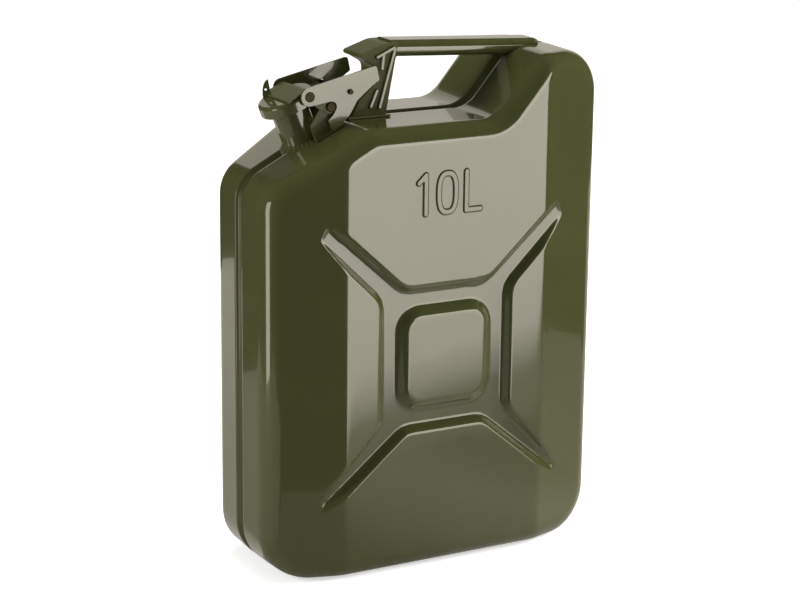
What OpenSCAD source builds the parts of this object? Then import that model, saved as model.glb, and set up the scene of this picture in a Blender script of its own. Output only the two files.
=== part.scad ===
// Steel fuel can for ten litres, with a cam lever closure and one bar handle.
// X runs along the width with the filler neck at -X and the hump at +X.
// Y runs through the depth, and the two pressed half shells meet in the plane Y = 0.
// Z is up, and the can stands on Z = 0.

/* [Body] */
// Width over the narrow sides
body_w = 284; // [268:1:300]
// Depth over the two big faces
body_d = 122; // [112:1:134]
// Height of the hump
body_h = 386; // [376:1:396]
// Height of the hump above the deck under the handle
hump_rise = 45; // [40:1:50]
// Thickness of the body sheet
sheet_t = 0.9; // [0.7:0.1:1.4]
// Radius of the two bottom corners
foot_r = 37; // [28:1:42]
// Radius of the hump's rear corner
hump_r = 35; // [26:1:42]
// Radius of the hump's front corner
nose_r = 20; // [17:1:22]
// Radius in the hollow between deck and hump
hollow_r = 25; // [18:1:28]
// Radius between deck and shoulder
brow_r = 24; // [16:1:30]
// Radius between shoulder and front side
shoulder_r = 27; // [20:1:34]
// Radius of the edge round each big face
edge_r = 13; // [10:1:15]
// Distance from the rear side to the foot of the hump
hump_rear = 96.4; // [94:0.1:99]
// Slope of the hump's front, in degrees
hump_slope = 50; // [47:1:54]
// Distance from the front side to the brow
brow_front = 80; // [76:1:84]
// Slope of the shoulder, in degrees
shoulder_slope = 27.5; // [25:0.5:30]
// Tilt of the face's outer bands, in degrees
band_tilt = 17; // [12:1:19]

/* [Seam] */
// Depth of the seam groove
groove_depth = 5.5; // [4:0.1:6.5]
// Width of the seam groove at its mouth
groove_w = 12; // [9:0.5:15]
// Height of the weld bead in the groove
bead_h = 1.5; // [1:0.1:2]

/* [Pressed cross] */
// Depth of the cross pressed into each big face
cross_depth = 5.5; // [4:0.1:6.5]
// Distance from each side of the can to the ends of the cross's arms
cross_side = 33.7; // [30:0.1:38]
// Distance from the ground to the lower arms' ends
cross_foot = 49.8; // [46:0.1:54]
// Distance from the deck down to the upper arms' ends
cross_head = 62; // [58:0.1:66]
// Width of the cross's sloping wall
cross_run = 5.5; // [4.5:0.1:7]
// Distance from the cross's middle edge to the foot of the raised pad, at its sides
pad_side = 16; // [13:0.5:20]
// Distance from the cross's middle edge to the foot of the raised pad, at its ends
pad_end = 15.5; // [13:0.5:20]
// Width of the pad's sloping wall
pad_run = 9; // [6:0.5:11]

/* [Filler neck] */
// Outer radius of the neck tube
neck_r = 14; // [13.4:0.1:14.4]
// Wall of the neck tube
neck_t = 1.5; // [1:0.1:2]
// Height of the neck above the shoulder
neck_h = 32.3; // [31:0.1:34]
// Length of neck tube inside the can
neck_inside = 14; // [13:0.5:17]
// Lean of the neck towards the front, in degrees
neck_tilt = 22.2; // [20:0.1:25]
// Distance from the front side to the neck
neck_front = 51.3; // [49:0.1:54]
// Radius of the rolled lip
lip_r = 1.4; // [1:0.1:1.8]
// Width of the weld collar round the neck
collar_w = 3.2; // [2:0.1:3.4]
// Height of the weld collar
collar_h = 3.4; // [2.4:0.1:4.5]

/* [Breather] */
// Outer radius of the breather tube
breather_r = 3.5; // [2.8:0.1:4]
// Wall of the breather tube
breather_t = 0.8; // [0.6:0.1:1.1]
// Depth of the breather below the groove's inner face
breather_drop = 4.7; // [4.5:0.1:6]

/* [Cap] */
// Radius of the cap
cap_r = 20.8; // [20:0.1:21]
// Height of the cap's skirt
cap_h = 9.2; // [8.4:0.1:9.6]
// Sheet of the cap
cap_t = 1; // [0.8:0.1:1.2]
// Rounding of the cap's top edge
cap_edge_r = 2.4; // [1.6:0.1:3]
// Thickness of the rubber gasket
gasket_t = 3; // [2.4:0.1:3.6]
// Gap between the gasket and the lip
seal_gap = 0.3; // [0.2:0.05:0.5]

/* [Closure] */
// Distance of the lever's pivot behind the neck's axis
pivot_back = 9.2; // [8.8:0.1:9.6]
// Distance of the lever's pivot below the cap's top
pivot_drop = 1.9; // [1.5:0.1:2.2]
// Distance of the hinge pin behind the cap's rim
hinge_back = 1.24; // [1:0.02:2]
// Distance of the hinge pin below the cap's skirt
hinge_drop = 7.3; // [7:0.05:8]
// Radius of the hinge pin
hinge_r = 3.4; // [3:0.1:3.6]
// Room round the hinge pin in the lever's slot
slot_room = 0.9; // [0.5:0.1:1]
// Running clearance of the pins
running = 0.06; // [0.03:0.01:0.09]
// Half the gap between the bracket's ears
ear_in = 17.7; // [17.4:0.1:18]
// Thickness of the bracket
ear_t = 2.4; // [2:0.1:2.6]
// Gap between neighbouring plates
side_gap = 0.3; // [0.25:0.05:0.4]
// Thickness of the cap's bridge
bridge_t = 1.6; // [1.3:0.1:1.9]
// Thickness of the lever
lever_t = 1.6; // [1.3:0.1:2]
// Length of the lever behind its pivot
lever_l = 57; // [54:0.5:60]
// Radius of the lever's front end
lever_r = 6.8; // [6.4:0.1:7.2]
// Drop of the lever's hook below its pivot
hook_drop = 29.8; // [28.6:0.1:30]
// Pitch of the lever in the neck's own frame, in degrees
lever_pitch = 9.4; // [9:0.1:10]
// Radius of the rivets at the lever's pivot
rivet_r = 2.6; // [2:0.1:3]
// Radius of the rivet heads
rivet_head_r = 3.8; // [3.4:0.1:4.4]
// Radius of the safety pin
pin_r = 1.7; // [1.3:0.1:1.8]

/* [Handle] */
// Width of the handle bar
bar_w = 26; // [22:1:27]
// Height of the handle bar
bar_h = 12.5; // [11:0.5:14]
// Sheet of the handle bar
bar_t = 1.5; // [1:0.1:2]
// Height of the bar's front end above the hump
bar_rise = 10.5; // [8:0.5:12]
// Fall of the bar towards the rear, in degrees
bar_pitch = 2.9; // [2:0.1:3.2]
// Distance from the rear side to the bar's rear end
bar_rear = 40; // [36:1:44]
// Distance from the front side to the strut's top
strut_front = 124; // [122:0.5:126]
// Width of the strut
strut_w = 28; // [27:0.5:30]
// Sheet of the strut
strut_t = 1.5; // [1:0.1:1.8]

/* [Hidden] */
$fn = 72;
paint = "#4f5230";
zinc = "#9a9a90";
rubber = "#202020";
weld_grey = "#3c3d2c";
// Overrun of every cut past the face that it leaves
over = 1;
// Angle between two points of a rounded corner
arc_step = 12;

half_w = body_w / 2;
half_d = body_d / 2;
deck_h = body_h - hump_rise;
hump_x = half_w - hump_rear;
brow_x = half_w - brow_front;
neck_x = half_w - neck_front;
strut_x = half_w - strut_front;
bar_l = half_w - bar_rear + strut_x;
// Straight stretch of the hump's front between the crease and the nose
crease_gap = 3.3;
nose_tangent_x = hump_x + (body_h - deck_h) / tan(hump_slope)
    - nose_r * tan(hump_slope / 2) * cos(hump_slope);
// Half width of the flat middle of each big face
face_half = nose_tangent_x - crease_gap + edge_r * sin(hump_slope);
crease_front_x = -face_half - edge_r * sin(shoulder_slope);
crease_rear_x = face_half - edge_r * sin(hump_slope);

function shoulder_z(x) = deck_h - tan(shoulder_slope) * (-brow_x - x);
function face_y(x) = half_d - tan(band_tilt) * max(0, abs(x) - face_half);

// Corners of the can's side view, anticlockwise, each with its radius
body_corners = [
    [-face_half, 0, 0],
    [face_half, 0, 0],
    [half_w, 0, foot_r],
    [half_w, body_h, hump_r],
    [hump_x + (body_h - deck_h) / tan(hump_slope), body_h, nose_r],
    [crease_rear_x, deck_h + (crease_rear_x - hump_x) * tan(hump_slope), 0],
    [hump_x, deck_h, hollow_r],
    [-brow_x, deck_h, brow_r],
    [crease_front_x, shoulder_z(crease_front_x), 0],
    [-half_w, shoulder_z(-half_w), shoulder_r],
    [-half_w, 0, foot_r]
];

// Section of the seam groove: shares of its depth and of its half width
groove_shares = [[1, 0], [1, 0.34], [0.86, 0.52], [0.42, 0.72], [0.1, 0.87], [0, 1]];

// Reach of the cross's arms, as shares of half its middle
arm_share = 1.9;
arm_low_share = 2.02;
arm_high_share = 2;

// Right half of the cross's outline from the bottom up: shares of the half waist, and a radius share
cross_shares = [
    [0.57, -1, 0.25], [1.8, -arm_low_share, 0], [1.86, -1.74, 0], [1, -0.82, 0.25],
    [1, 0.82, 0.25], [arm_share, 1.7, 0], [1.7, arm_high_share, 0], [0.6, 1, 0.25]
];
waist_w = 2 * (half_w - cross_side) / arm_share;
waist_h = 2 * (deck_h - cross_head - cross_foot) / (arm_low_share + arm_high_share);
cross_z = cross_foot + arm_low_share * waist_h / 2;
pad_w = waist_w - 2 * pad_side;
pad_h = waist_h - 2 * pad_end;
pad_corner_share = 0.2;

// The neck's own frame has its origin on the shoulder and its z axis along the neck
cap_top = neck_h + seal_gap + gasket_t + cap_t;
cap_base = cap_top - cap_h;
pivot = [pivot_back, cap_top - pivot_drop];
hinge = [cap_r + hinge_back, cap_base - hinge_drop];
arm_y = ear_in + ear_t + side_gap;
cheek_y = arm_y + bridge_t + side_gap;
cheek_out = cheek_y + lever_t;
// Radii of the bridge's roll, of its eyes on the hinge pin and of the ears
knuckle_r = rivet_r + 2 * running + 1.9;
eye_r = hinge_r + bridge_t + 0.6 * running;
ear_r = hinge_r + ear_t;
slot_r = hinge_r + slot_room;
slot_reach = norm(hinge - pivot);
slot_angle = atan2(hinge.y - pivot.y, hinge.x - pivot.x) + lever_pitch;
slot = slot_reach * [cos(slot_angle), sin(slot_angle)];

// Underside of the lever from its rear end to the hook's inner corner, as shares of
// the lever's length and of the hook's drop, and a radius share of the drop
hook_shares = [
    [0.89, 0.217, 0.3], [0.76, 0.335, 0.3], [0.635, 0.46, 0.25], [0.5, 0.73, 0.3],
    [0.35, 0.915, 0.25], [0.205, 1, 0.05], [0.183, 0.675, 0.03]
];
lever_rear_share = 0.14;
pin_place_shares = [0.563, 0.19];
web_shares = [0.27, 0.47];

function unit(v) = v / norm(v);
function turned(v, a) = [v.x * cos(a) - v.y * sin(a), v.x * sin(a) + v.y * cos(a)];

// Points of corner i of a closed anticlockwise outline, drawn in by inset along its normals
function corner_points(list, i, inset) =
    let (
        n = len(list),
        before = list[(i + n - 1) % n],
        here = list[i],
        after = list[(i + 1) % n],
        way_in = unit([here.x - before.x, here.y - before.y]),
        way_out = unit([after.x - here.x, after.y - here.y]),
        turn = atan2(cross(way_in, way_out), way_in * way_out),
        normal_in = [way_in.y, -way_in.x],
        normal_out = [way_out.y, -way_out.x],
        side = sign(turn),
        r = here[2],
        start = [here.x, here.y] - way_in * r * tan(abs(turn) / 2),
        centre = start - side * r * normal_in,
        steps = max(1, ceil(abs(turn) / arc_step))
    )
    r == 0
    ? [[here.x, here.y] - inset * (normal_in + normal_out) / (1 + normal_in * normal_out)]
    : [for (k = [0:steps]) centre + (side * r - inset) * turned(normal_in, turn * k / steps)];

function outline(list, inset = 0) =
    [for (i = [0:len(list) - 1]) each corner_points(list, i, inset)];

// Tangent strip between two circles
function strip(p, q, rp, rq) =
    let (
        a = atan2(q.y - p.y, q.x - p.x),
        b = acos((rp - rq) / norm(q - p))
    )
    [for (e = [[p, rp, 1], [q, rq, 1], [q, rq, -1], [p, rp, -1]])
        e[0] + e[1] * [cos(a + e[2] * b), sin(a + e[2] * b)]];

module link(p, q, rp, rq) {
    polygon(strip(p, q, rp, rq));
    translate(p) circle(rp);
    translate(q) circle(rq);
}

module both_sides() {
    children();
    mirror([0, 1, 0]) children();
}

// A flat shape of the side view, from y over the thickness t
module side_plate(y, t) {
    translate([0, y + t, 0]) rotate([90, 0, 0]) linear_extrude(t) children();
}

// Solid through rings of points of equal count, closed by the lists of faces given for its ends
module ring_solid(rings, last_faces) {
    n = len(rings[0]);
    polyhedron(
        points = [for (ring = rings) each ring],
        faces = concat(
            [[for (i = [n - 1:-1:0]) i]],
            [for (j = [0:len(rings) - 2], i = [0:n - 1])
                let (a = j * n + i, b = j * n + (i + 1) % n)
                each [[a, b, b + n], [a, b + n, a + n]]],
            [for (f = last_faces) [for (i = f) i + (len(rings) - 1) * n]]
        )
    );
}

// Solid through rings of points of equal count, where the last ring meets the first
module ring_loop(rings) {
    n = len(rings[0]);
    m = len(rings);
    polyhedron(
        points = [for (ring = rings) each ring],
        faces = [for (j = [0:m - 1], i = [0:n - 1])
            let (a = j * n + i, b = j * n + (i + 1) % n,
                c = ((j + 1) % m) * n + i, d = ((j + 1) % m) * n + (i + 1) % n)
            each [[a, b, d], [a, d, c]]]
    );
}

// The can's outer form, or its inner one where wall is the sheet's thickness
function groove_rings(wall, first_y) = [
    for (g = groove_shares)
    let (y = g[1] == 0 ? first_y : g[1] * groove_w / 2 + wall / 2)
    [for (p = outline(body_corners, g[0] * groove_depth + wall)) [p.x, y, p.y]]
];

function edge_rings(wall, step) = [
    for (a = [0:step:90])
    let (r = edge_r - wall, inset = wall + r * (1 - cos(a)), drop = wall + r * (1 - sin(a)))
    [for (p = outline(body_corners, inset)) [p.x, face_y(p.x) - drop, p.y]]
];

module half_form(wall, step, first_y) {
    rings = concat(groove_rings(wall, first_y), edge_rings(wall, step));
    last = rings[len(rings) - 1];
    tiny = sheet_t / 1000;
    all = [for (i = [0:len(last) - 1]) i];
    ring_solid(rings, [
        [for (i = all) if (last[i].x < tiny - face_half) i],
        [for (i = all) if (abs(last[i].x) < face_half + tiny) i],
        [for (i = all) if (last[i].x > face_half - tiny) i]
    ]);
}

// Outline with sloping walls, from depth low below the face to overrun high above it
module sloped_form(corners, run, low, high, inset) {
    slope = run / cross_depth;
    ring_count = len(outline(corners));
    ring_solid(
        [for (y = [-low, high])
            [for (p = outline(corners, inset - y * slope)) [p.x, half_d + y, p.y]]],
        [[for (i = [0:ring_count - 1]) i]]
    );
}

module cross_form(wall) {
    right = [for (c = cross_shares)
        [c[0] * waist_w / 2, cross_z + c[1] * waist_h / 2, c[2] * waist_w / 2]];
    left = [for (i = [len(right) - 1:-1:0]) [-right[i][0], right[i][1], right[i][2]]];
    pad_r = pad_corner_share * pad_w;
    pad = [for (c = [[-1, -1], [1, -1], [1, 1], [-1, 1]])
        [c[0] * pad_w / 2, cross_z + c[1] * pad_h / 2, pad_r]];
    cross_grow = wall * sqrt(1 + pow(cross_run / cross_depth, 2));
    pad_shrink = wall * sqrt(1 + pow(pad_run / cross_depth, 2));
    difference() {
        sloped_form(concat(right, left), cross_run, cross_depth + wall, over, -cross_grow);
        sloped_form(pad, -pad_run, cross_depth + wall + over, over + wall, pad_run + pad_shrink);
    }
}

module neck_frame() {
    translate([-neck_x, 0, shoulder_z(-neck_x)]) rotate([0, -neck_tilt, 0]) children();
}

module shoulder_frame() {
    neck_frame() rotate([0, neck_tilt - shoulder_slope, 0]) children();
}

// The space that the can's side view fills, used to seat what is welded on
module body_prism() {
    side_plate(-body_d, 2 * body_d) polygon(outline(body_corners));
}

// One pressed half, brought to the can's outer size
module half_shell() {
    resize([body_w, half_d, body_h]) difference() {
        half_form(0, 18, 0);
        difference() {
            half_form(sheet_t, 30, -over);
            cross_form(sheet_t);
        }
        cross_form(0);
        neck_frame() translate([0, 0, -neck_inside - over])
            cylinder(h = 2 * neck_inside, r = neck_r);
    }
}

module shell_near() {
    color(paint) mirror([0, 1, 0]) half_shell();
}

module shell_far() {
    color(paint) half_shell();
}

// Bead along the groove, with a flat foot on both shells' edges
bead_shares = [[0, -1.3], [0.62, -1.1], [0.95, -0.5], [0.95, 0.5], [0.62, 1.1], [0, 1.3]];
module seam_weld() {
    color(weld_grey) difference() {
        ring_loop([for (s = bead_shares)
            [for (p = outline(body_corners, groove_depth - s[0] * bead_h))
                [p.x, s[1] * bead_h, p.y]]]);
        neck_frame() translate([0, 0, -neck_inside - over])
            cylinder(h = 2 * neck_inside, r = neck_r);
    }
}

// The breather's route in the side view, from the neck's wall to the top of the hump
breather_z = deck_h - groove_depth - sheet_t - breather_drop;
breather_start_s = -(neck_inside - breather_r - neck_t);
breather_start_r = neck_r + sheet_t / 10;
breather_route = [
    [
        -neck_x + breather_start_r * cos(neck_tilt) - breather_start_s * sin(neck_tilt),
        shoulder_z(-neck_x) + breather_start_r * sin(neck_tilt) + breather_start_s * cos(neck_tilt)
    ],
    [-brow_x + 2 * breather_r, breather_z],
    [hump_x + breather_r, breather_z],
    [face_half + nose_r, body_h - groove_depth - sheet_t - 1.6 * breather_r]
];

// Round section of radius r at bend i of the breather, in the plane that halves the bend
function breather_ring(i, r) =
    let (
        last = len(breather_route) - 1,
        here = breather_route[i],
        way_in = i == 0 ? [cos(neck_tilt), sin(neck_tilt)] : unit(here - breather_route[i - 1]),
        way_out = i == last ? way_in : unit(breather_route[i + 1] - here),
        up = unit(turned(way_in + way_out, 90)),
        stretch = 1 / (unit(way_in + way_out) * way_out)
    )
    [for (a = [0:15:345]) let (p = here + up * stretch * r * cos(a)) [p.x, r * sin(a), p.y]];

module neck_tube() {
    color(paint) difference() {
        neck_frame() translate([0, 0, -neck_inside]) cylinder(h = neck_h + neck_inside, r = neck_r);
        neck_frame() translate([0, 0, -neck_inside - over])
            cylinder(h = neck_h + neck_inside + 2 * over, r = neck_r - neck_t);
        neck_frame() translate([0, 0, breather_start_s]) rotate([0, 90, 0])
            cylinder(h = neck_r + over, r = breather_r - breather_t);
    }
}

module neck_lip() {
    color(paint) neck_frame() rotate_extrude() {
        translate([neck_r, neck_h - 2 * lip_r]) square([lip_r, 2 * lip_r]);
        translate([neck_r + lip_r, neck_h - lip_r]) circle(lip_r);
    }
}

module neck_collar() {
    color(paint) difference() {
        neck_frame() translate([0, 0, -collar_h])
            cylinder(h = 2 * collar_h, r1 = neck_r + 2 * collar_w, r2 = neck_r);
        neck_frame() translate([0, 0, -2 * collar_h]) cylinder(h = 4 * collar_h, r = neck_r);
        body_prism();
    }
}

module breather_tube() {
    last = len(breather_route) - 1;
    color(zinc) ring_loop(concat(
        [for (i = [0:last]) breather_ring(i, breather_r)],
        [for (i = [last:-1:0]) breather_ring(i, breather_r - breather_t)]
    ));
}

// Saddle that hangs the breather from the seam's inner edge
module breather_clip() {
    color(paint) translate([0, 0, breather_z]) rotate([0, 90, 0]) difference() {
        cylinder(h = 2 * breather_r, r = breather_drop, center = true);
        cylinder(h = 3 * breather_r, r = breather_r, center = true);
    }
}

// Side view of the strut: foot, rear edge, head with its bill, slim neck. Each point is given in
// shares of the strut's height, from the top of its rear edge and from the deck, with a radius
// share
strut_top_z = body_h + bar_rise - bar_t;
strut_height = strut_top_z - deck_h;
strut_shares = [
    [-0.728, 0, 0], [-0.194, 0, 0], [0, 1, 0.035], [-0.2, 1, 0.3], [-0.655, 0.85, 0.035],
    [-0.51, 0.8, 0.25], [-0.3, 0.68, 0.12], [-0.302, 0.49, 0.12], [-0.583, 0.254, 0.14]
];
strut_corners = [for (s = strut_shares) [
    s[0] * strut_height - strut_x,
    deck_h + s[1] * strut_height - (s[1] == 0 ? over : 0),
    s[2] * strut_height
]];
strut_foot_x = strut_corners[0].x;
strut_foot = strut_corners[1].x - strut_foot_x;

module strut_prism(inset, width) {
    side_plate(-width / 2, width) polygon(outline(strut_corners, inset));
}

// Ribs on each side of the strut, with their ends in the same shares
rib_shares = [
    [[-0.235, 0.843], [-0.255, 0.657]],
    [[-0.06, 0.92], [-0.29, 0.13]],
    [[-0.335, 0.36], [-0.426, 0.15]]
];

module handle_strut() {
    color(paint) {
        difference() {
            strut_prism(0, strut_w);
            difference() {
                strut_prism(strut_t, strut_w - 2 * strut_t);
                body_prism();
            }
            body_prism();
        }
        both_sides() for (rib = rib_shares) {
            hull() for (e = rib)
                translate([e[0] * strut_height - strut_x, strut_w / 2,
                    deck_h + e[1] * strut_height]) sphere(strut_t, $fn = 20);
        }
    }
}

// Flange round the strut's foot, spot welded to the deck
module strut_foot_plate() {
    flange = 2 * strut_t;
    color(paint) difference() {
        side_plate(-strut_w / 2 - flange, strut_w + 2 * flange)
            polygon([
                [strut_foot_x - flange, deck_h - over],
                [strut_foot_x + strut_foot + flange, deck_h - over],
                [strut_foot_x + strut_foot + flange, deck_h + strut_t],
                [strut_foot_x - flange, deck_h + strut_t]
            ]);
        body_prism();
        strut_prism(0, strut_w);
    }
}

module rounded_square(w, h, r) {
    square([w - 2 * r, h], center = true);
    square([w, h - 2 * r], center = true);
    for (x = [-1, 1], y = [-1, 1]) translate([x * (w / 2 - r), y * (h / 2 - r)]) circle(r);
}

// Lap of the bar's front end on the strut's head
bar_lap = 3 * strut_t;

module bar_form(inset) {
    corner = 0.45 * bar_h - inset;
    translate([-strut_x - bar_lap, 0, body_h + bar_rise]) rotate([0, bar_pitch, 0])
        translate([0, 0, -bar_h / 2]) rotate([90, 0, 90])
        linear_extrude(bar_l + bar_lap) rounded_square(bar_w - 2 * inset, bar_h - 2 * inset, corner);
}

module handle_bar() {
    color(paint) difference() {
        bar_form(0);
        difference() {
            bar_form(bar_t);
            translate([bar_l - strut_x - 2 * bar_t, -bar_w, deck_h]) cube([bar_l, 2 * bar_w, body_h]);
        }
        body_prism();
        strut_prism(0, strut_w + over);
    }
}

// Fillet weld behind the bar's rear end, on the hump
module handle_weld() {
    fillet = 0.3 * bar_h;
    color(weld_grey) difference() {
        translate([bar_l - strut_x, 0, body_h]) rotate([90, 0, 0])
            cylinder(h = bar_w - 0.6 * bar_h, r = fillet, center = true);
        body_prism();
        bar_form(0);
    }
}

// Bead where the bar's front end meets the strut
module strut_weld() {
    bead = 0.8 * strut_t;
    color(weld_grey) difference() {
        translate([-strut_x, 0, strut_top_z - bar_h + bar_t]) rotate([90, 0, 0])
            cylinder(h = bar_w - 0.6 * bar_h, r = bead, center = true);
        bar_form(0);
        strut_prism(0, strut_w + over);
    }
}

ear_front = 3;
ear_corner_r = 2;
ear_front_share = 0.6;

module closure_bracket() {
    front_top = [ear_front + ear_corner_r, ear_front_share * hinge.y];
    deep = 2 * ear_t;
    rear = hinge.x + ear_r;
    color(paint) {
        difference() {
            neck_frame() both_sides() difference() {
                side_plate(ear_in, ear_t) {
                    link(front_top, hinge, ear_corner_r, ear_r);
                    polygon([
                        [ear_front, -deep], [rear, -deep], [rear, hinge.y], hinge,
                        [ear_front, front_top.y]
                    ]);
                }
                translate([hinge.x, 0, hinge.y]) rotate([-90, 0, 0])
                    cylinder(h = cheek_out, r = hinge_r);
            }
            body_prism();
        }
        shoulder_frame() {
            base_front = neck_r + 2 * ear_t / 3;
            translate([base_front, -ear_in - ear_t, 0])
                cube([rear - base_front, 2 * (ear_in + ear_t), ear_t]);
            both_sides() translate([ear_front, ear_in, 0])
                cube([rear - ear_front, 1.7 * ear_t, ear_t]);
        }
    }
}

module hinge_pin() {
    color(zinc) neck_frame() translate([hinge.x, 0, hinge.y]) rotate([90, 0, 0])
        cylinder(h = 2 * cheek_out, r = hinge_r, center = true);
}

module cap_shell() {
    color(paint) neck_frame() rotate_extrude() difference() {
        union() {
            translate([0, cap_base]) square([cap_r, cap_h - cap_edge_r]);
            translate([0, cap_base]) square([cap_r - cap_edge_r, cap_h]);
            translate([cap_r - cap_edge_r, cap_top - cap_edge_r]) circle(cap_edge_r);
        }
        translate([0, cap_base - over]) square([cap_r - cap_t, cap_h + over - cap_edge_r]);
        translate([0, cap_base - over]) square([cap_r - cap_edge_r, cap_h + over - cap_t]);
        intersection() {
            translate([cap_r - cap_edge_r, cap_top - cap_edge_r]) circle(cap_edge_r - cap_t);
            translate([0, cap_base]) square([cap_r, cap_h]);
        }
        translate([-cap_r, cap_base - over]) square([cap_r, cap_h + 2 * over]);
    }
}

gasket_out_r = cap_r - cap_edge_r;
gasket_in_r = neck_r - 0.8 * neck_t;

module cap_gasket() {
    color(rubber) neck_frame() translate([0, 0, cap_top - cap_t - gasket_t]) difference() {
        cylinder(h = gasket_t, r = gasket_out_r);
        translate([0, 0, -over]) cylinder(h = gasket_t + 2 * over, r = gasket_in_r);
    }
}

// Disc inside the gasket that keeps it in place
module gasket_retainer() {
    color(zinc) neck_frame() translate([0, 0, cap_top - 2 * cap_t]) difference() {
        cylinder(h = cap_t, r = gasket_in_r);
        translate([0, 0, -over]) cylinder(h = cap_t + 2 * over, r = rivet_r / 2);
    }
}

module retainer_rivet() {
    color(zinc) neck_frame() {
        translate([0, 0, cap_top - 2 * cap_t]) cylinder(h = cap_t, r = rivet_r / 2);
        translate([0, 0, cap_top - 2.6 * cap_t]) cylinder(h = 0.6 * cap_t, r = rivet_r);
    }
}

// Bridge on the cap: a saddle rolled round the lever's pivot, and an arm to the hinge pin on each side
bridge_lip_share = 0.34;
bridge_lip = bridge_t / 2;
bridge_front = [bridge_lip - bridge_lip_share * cap_r, cap_top + bridge_lip];

module cap_bridge() {
    hollow = bridge_front + [2 * bridge_t, -bridge_lip / 2];
    color(paint) neck_frame() {
        side_plate(-arm_y, 2 * arm_y) difference() {
            intersection() {
                link(bridge_front, pivot, bridge_lip, knuckle_r);
                translate([-cap_r, cap_top]) square(2 * cap_r);
            }
            link(hollow, pivot, bridge_lip / 2, knuckle_r - bridge_t);
        }
        both_sides() side_plate(arm_y, bridge_t) difference() {
            link(pivot, hinge, knuckle_r - 0.3 * bridge_t, eye_r);
            translate(pivot) circle(rivet_r + running);
            translate(hinge) circle(hinge_r + running);
        }
    }
}

// Fin on the cap with a hole for a sealing wire: its front edge is curved, its rear edge straight
lug_place_shares = [-0.23, 0.58];
lug_turn = 25;
module seal_lug() {
    lug_w = 4 * bridge_t;
    lug_h = 7.7 * bridge_t;
    lug_lean = 1.2 * bridge_t;
    lug_hole = 0.6 * bridge_t;
    color(paint) neck_frame() difference() {
        translate([lug_place_shares[0] * cap_r, lug_place_shares[1] * cap_r, cap_top])
            rotate([0, 0, -lug_turn]) side_plate(0, bridge_t) difference() {
                polygon(concat(
                    [for (a = [0:10:90]) [lug_lean * sin(a) - lug_w * cos(a), lug_h * sin(a)]],
                    [[0, 0]]
                ));
                translate([-0.36 * lug_w, 0.45 * lug_h]) circle(lug_hole);
            }
        side_plate(-arm_y, 2 * arm_y) link(bridge_front, pivot, bridge_lip, knuckle_r);
    }
}

module lever_frame() {
    neck_frame() translate([pivot.x, 0, pivot.y]) rotate([0, lever_pitch, 0]) children();
}

pin_place = [pin_place_shares[0] * lever_l, -pin_place_shares[1] * hook_drop];
pin_hole_r = pin_r + slot_room / 2;

// One side of the lever: a bar, a hook below it and an open slot on an arc about the pivot
module lever_side() {
    under = concat(
        [[lever_l, -lever_rear_share * hook_drop, lever_r / 4]],
        [for (s = hook_shares) [s[0] * lever_l, -s[1] * hook_drop, s[2] * hook_drop]]
    );
    // The outline runs clockwise here, so it is reversed for the corner function
    around = concat(
        [[0, lever_r, 0], [lever_l, lever_r, lever_r / 3]], under,
        [[slot.x, slot.y, 0], [slot.x, slot.y + slot_r, 0], [0, -lever_r, 0]]
    );
    mouth_angle = 60;
    far = 2 * slot_reach;
    difference() {
        union() {
            polygon(outline([for (i = [len(around) - 1:-1:0]) around[i]]));
            circle(lever_r);
        }
        translate(slot) circle(slot_r);
        intersection() {
            difference() {
                circle(slot_reach + slot_r);
                circle(slot_reach - slot_r);
            }
            polygon([[0, 0], far * [cos(slot_angle), sin(slot_angle)],
                far * [cos(slot_angle - mouth_angle), sin(slot_angle - mouth_angle)]]);
        }
        translate(pin_place) circle(pin_hole_r);
    }
}

module lever() {
    web_low = -lever_r + 0.8 * lever_t;
    color(zinc) lever_frame() {
        both_sides() difference() {
            side_plate(cheek_y, lever_t) lever_side();
            translate([0, cheek_y - over, 0]) rotate([-90, 0, 0])
                cylinder(h = lever_t + 2 * over, r = rivet_r);
        }
        side_plate(-cheek_y, 2 * cheek_y) translate([web_shares[0] * lever_l, web_low])
            square([(web_shares[1] - web_shares[0]) * lever_l, lever_t]);
    }
}

module lever_rivets() {
    color(zinc) lever_frame() both_sides() {
        translate([0, arm_y, 0]) rotate([-90, 0, 0])
            cylinder(h = cheek_out - arm_y, r = rivet_r);
        translate([0, cheek_out, 0]) rotate([-90, 0, 0])
            cylinder(h = lever_t / 3, r = rivet_head_r);
    }
}

// Wire pin across the lever, with its far end bent into an eye
module safety_pin() {
    stick_out = 1.2 * pin_r;
    loop_r = 2.4 * pin_r;
    far_y = cheek_out + 3 * pin_r;
    color(zinc) lever_frame() translate([pin_place.x, 0, pin_place.y]) {
        translate([0, -cheek_out - stick_out, 0]) rotate([-90, 0, 0])
            cylinder(h = far_y + cheek_out + stick_out, r = pin_r);
        translate([0, far_y + loop_r, 0]) rotate([0, 90, 0])
            rotate_extrude() translate([loop_r, 0]) circle(pin_r);
    }
}

shell_near();
shell_far();
seam_weld();
neck_tube();
neck_lip();
neck_collar();
breather_tube();
breather_clip();
handle_bar();
handle_strut();
strut_foot_plate();
handle_weld();
strut_weld();
closure_bracket();
hinge_pin();
cap_shell();
cap_gasket();
gasket_retainer();
retainer_rivet();
cap_bridge();
seal_lug();
lever();
lever_rivets();
safety_pin();
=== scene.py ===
"""Looks of the steel fuel can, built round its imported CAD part."""

from math import atan2, cos, pi, radians, sin, tan

import bmesh
import bpy
import numpy as np
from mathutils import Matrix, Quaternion, Vector


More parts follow.
